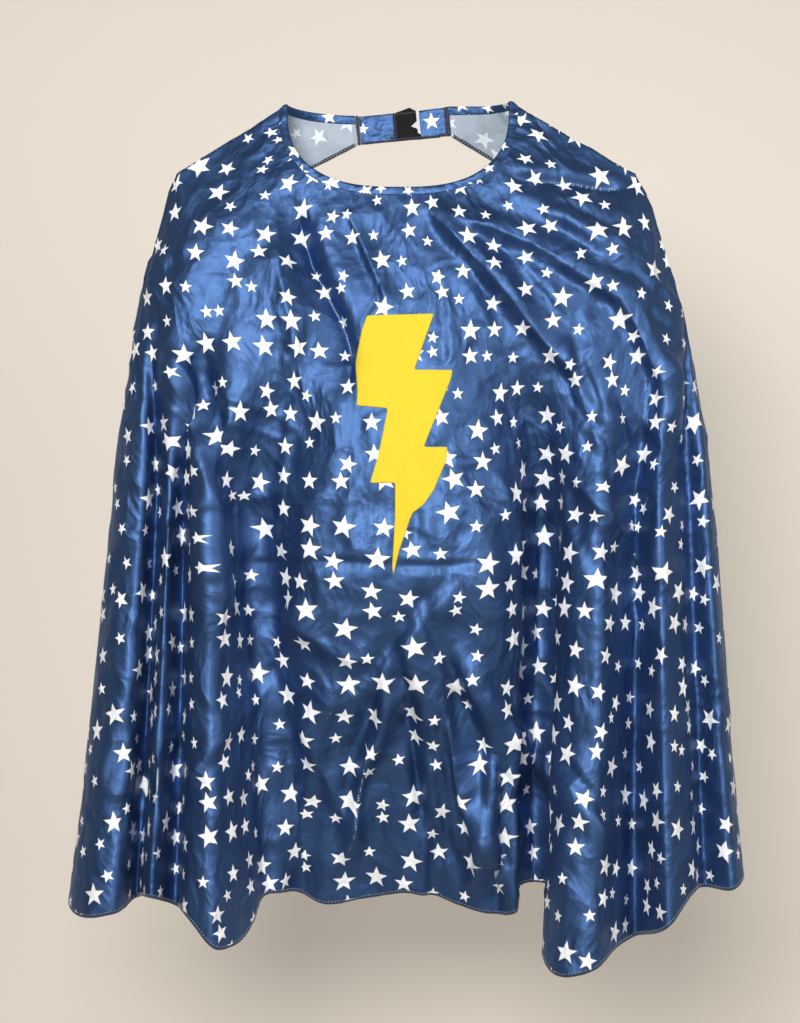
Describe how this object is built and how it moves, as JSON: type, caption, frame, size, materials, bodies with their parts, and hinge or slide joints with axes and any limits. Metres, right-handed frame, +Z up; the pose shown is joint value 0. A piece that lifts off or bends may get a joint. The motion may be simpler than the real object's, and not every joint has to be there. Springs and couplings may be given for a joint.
{
  "type": "superhero cape",
  "caption": "Child's satin cape with a felt lightning bolt on its back, hanging closed by a two-tab hook-and-loop neck strap.",
  "frame": {"origin": "the hanging point: midway between the shoulders, level with the tops of the neck's sides", "axes": "+Z up along the cape's length, -Y out of the printed back panel, +Y towards the neck strap, +X to the right as seen from the bolt's side"},
  "size_m": [0.6242, 0.1502, 0.7948],
  "materials": {
    "printed_satin": "glossy navy satin printed with white stars, pale blue-grey on its reverse",
    "navy_thread": "matte polyester thread",
    "yellow_felt": "smooth bright yellow felt",
    "bonding_film": "thin milky heat-bond web",
    "black_tape": "matte black hook-and-loop tape"
  },
  "bodies": {
    "drape": {"cape_panel": "printed_satin", "neck_binding": "printed_satin", "neck_topstitch": "navy_thread", "hem_overlock": "navy_thread", "left_edge_overlock": "navy_thread", "right_edge_overlock": "navy_thread", "bolt_bond_film": "bonding_film", "lightning_bolt": "yellow_felt", "left_tab_seam": "navy_thread", "right_tab_seam": "navy_thread"},
    "long_tab": {"left_tab": "printed_satin", "left_tab_overlock": "navy_thread", "loop_patch": "black_tape", "loop_patch_stitching": "navy_thread"},
    "short_tab": {"right_tab": "printed_satin", "right_tab_overlock": "navy_thread", "hook_patch": "black_tape", "hook_patch_stitching": "navy_thread"}
  },
  "joints": [
    {"name": "long_tab_fold", "type": "hinge", "parent": "drape", "child": "long_tab", "pos_m": [-0.03738, 0.03495, -0.0187], "axis": [-0.0924, 0, 0.9957], "range_deg": [0, 150]},
    {"name": "short_tab_fold", "type": "hinge", "parent": "drape", "child": "short_tab", "pos_m": [0.04238, 0.02505, -0.0113], "axis": [-0.0924, 0, 0.9957], "range_deg": [0, 150]}
  ]
}
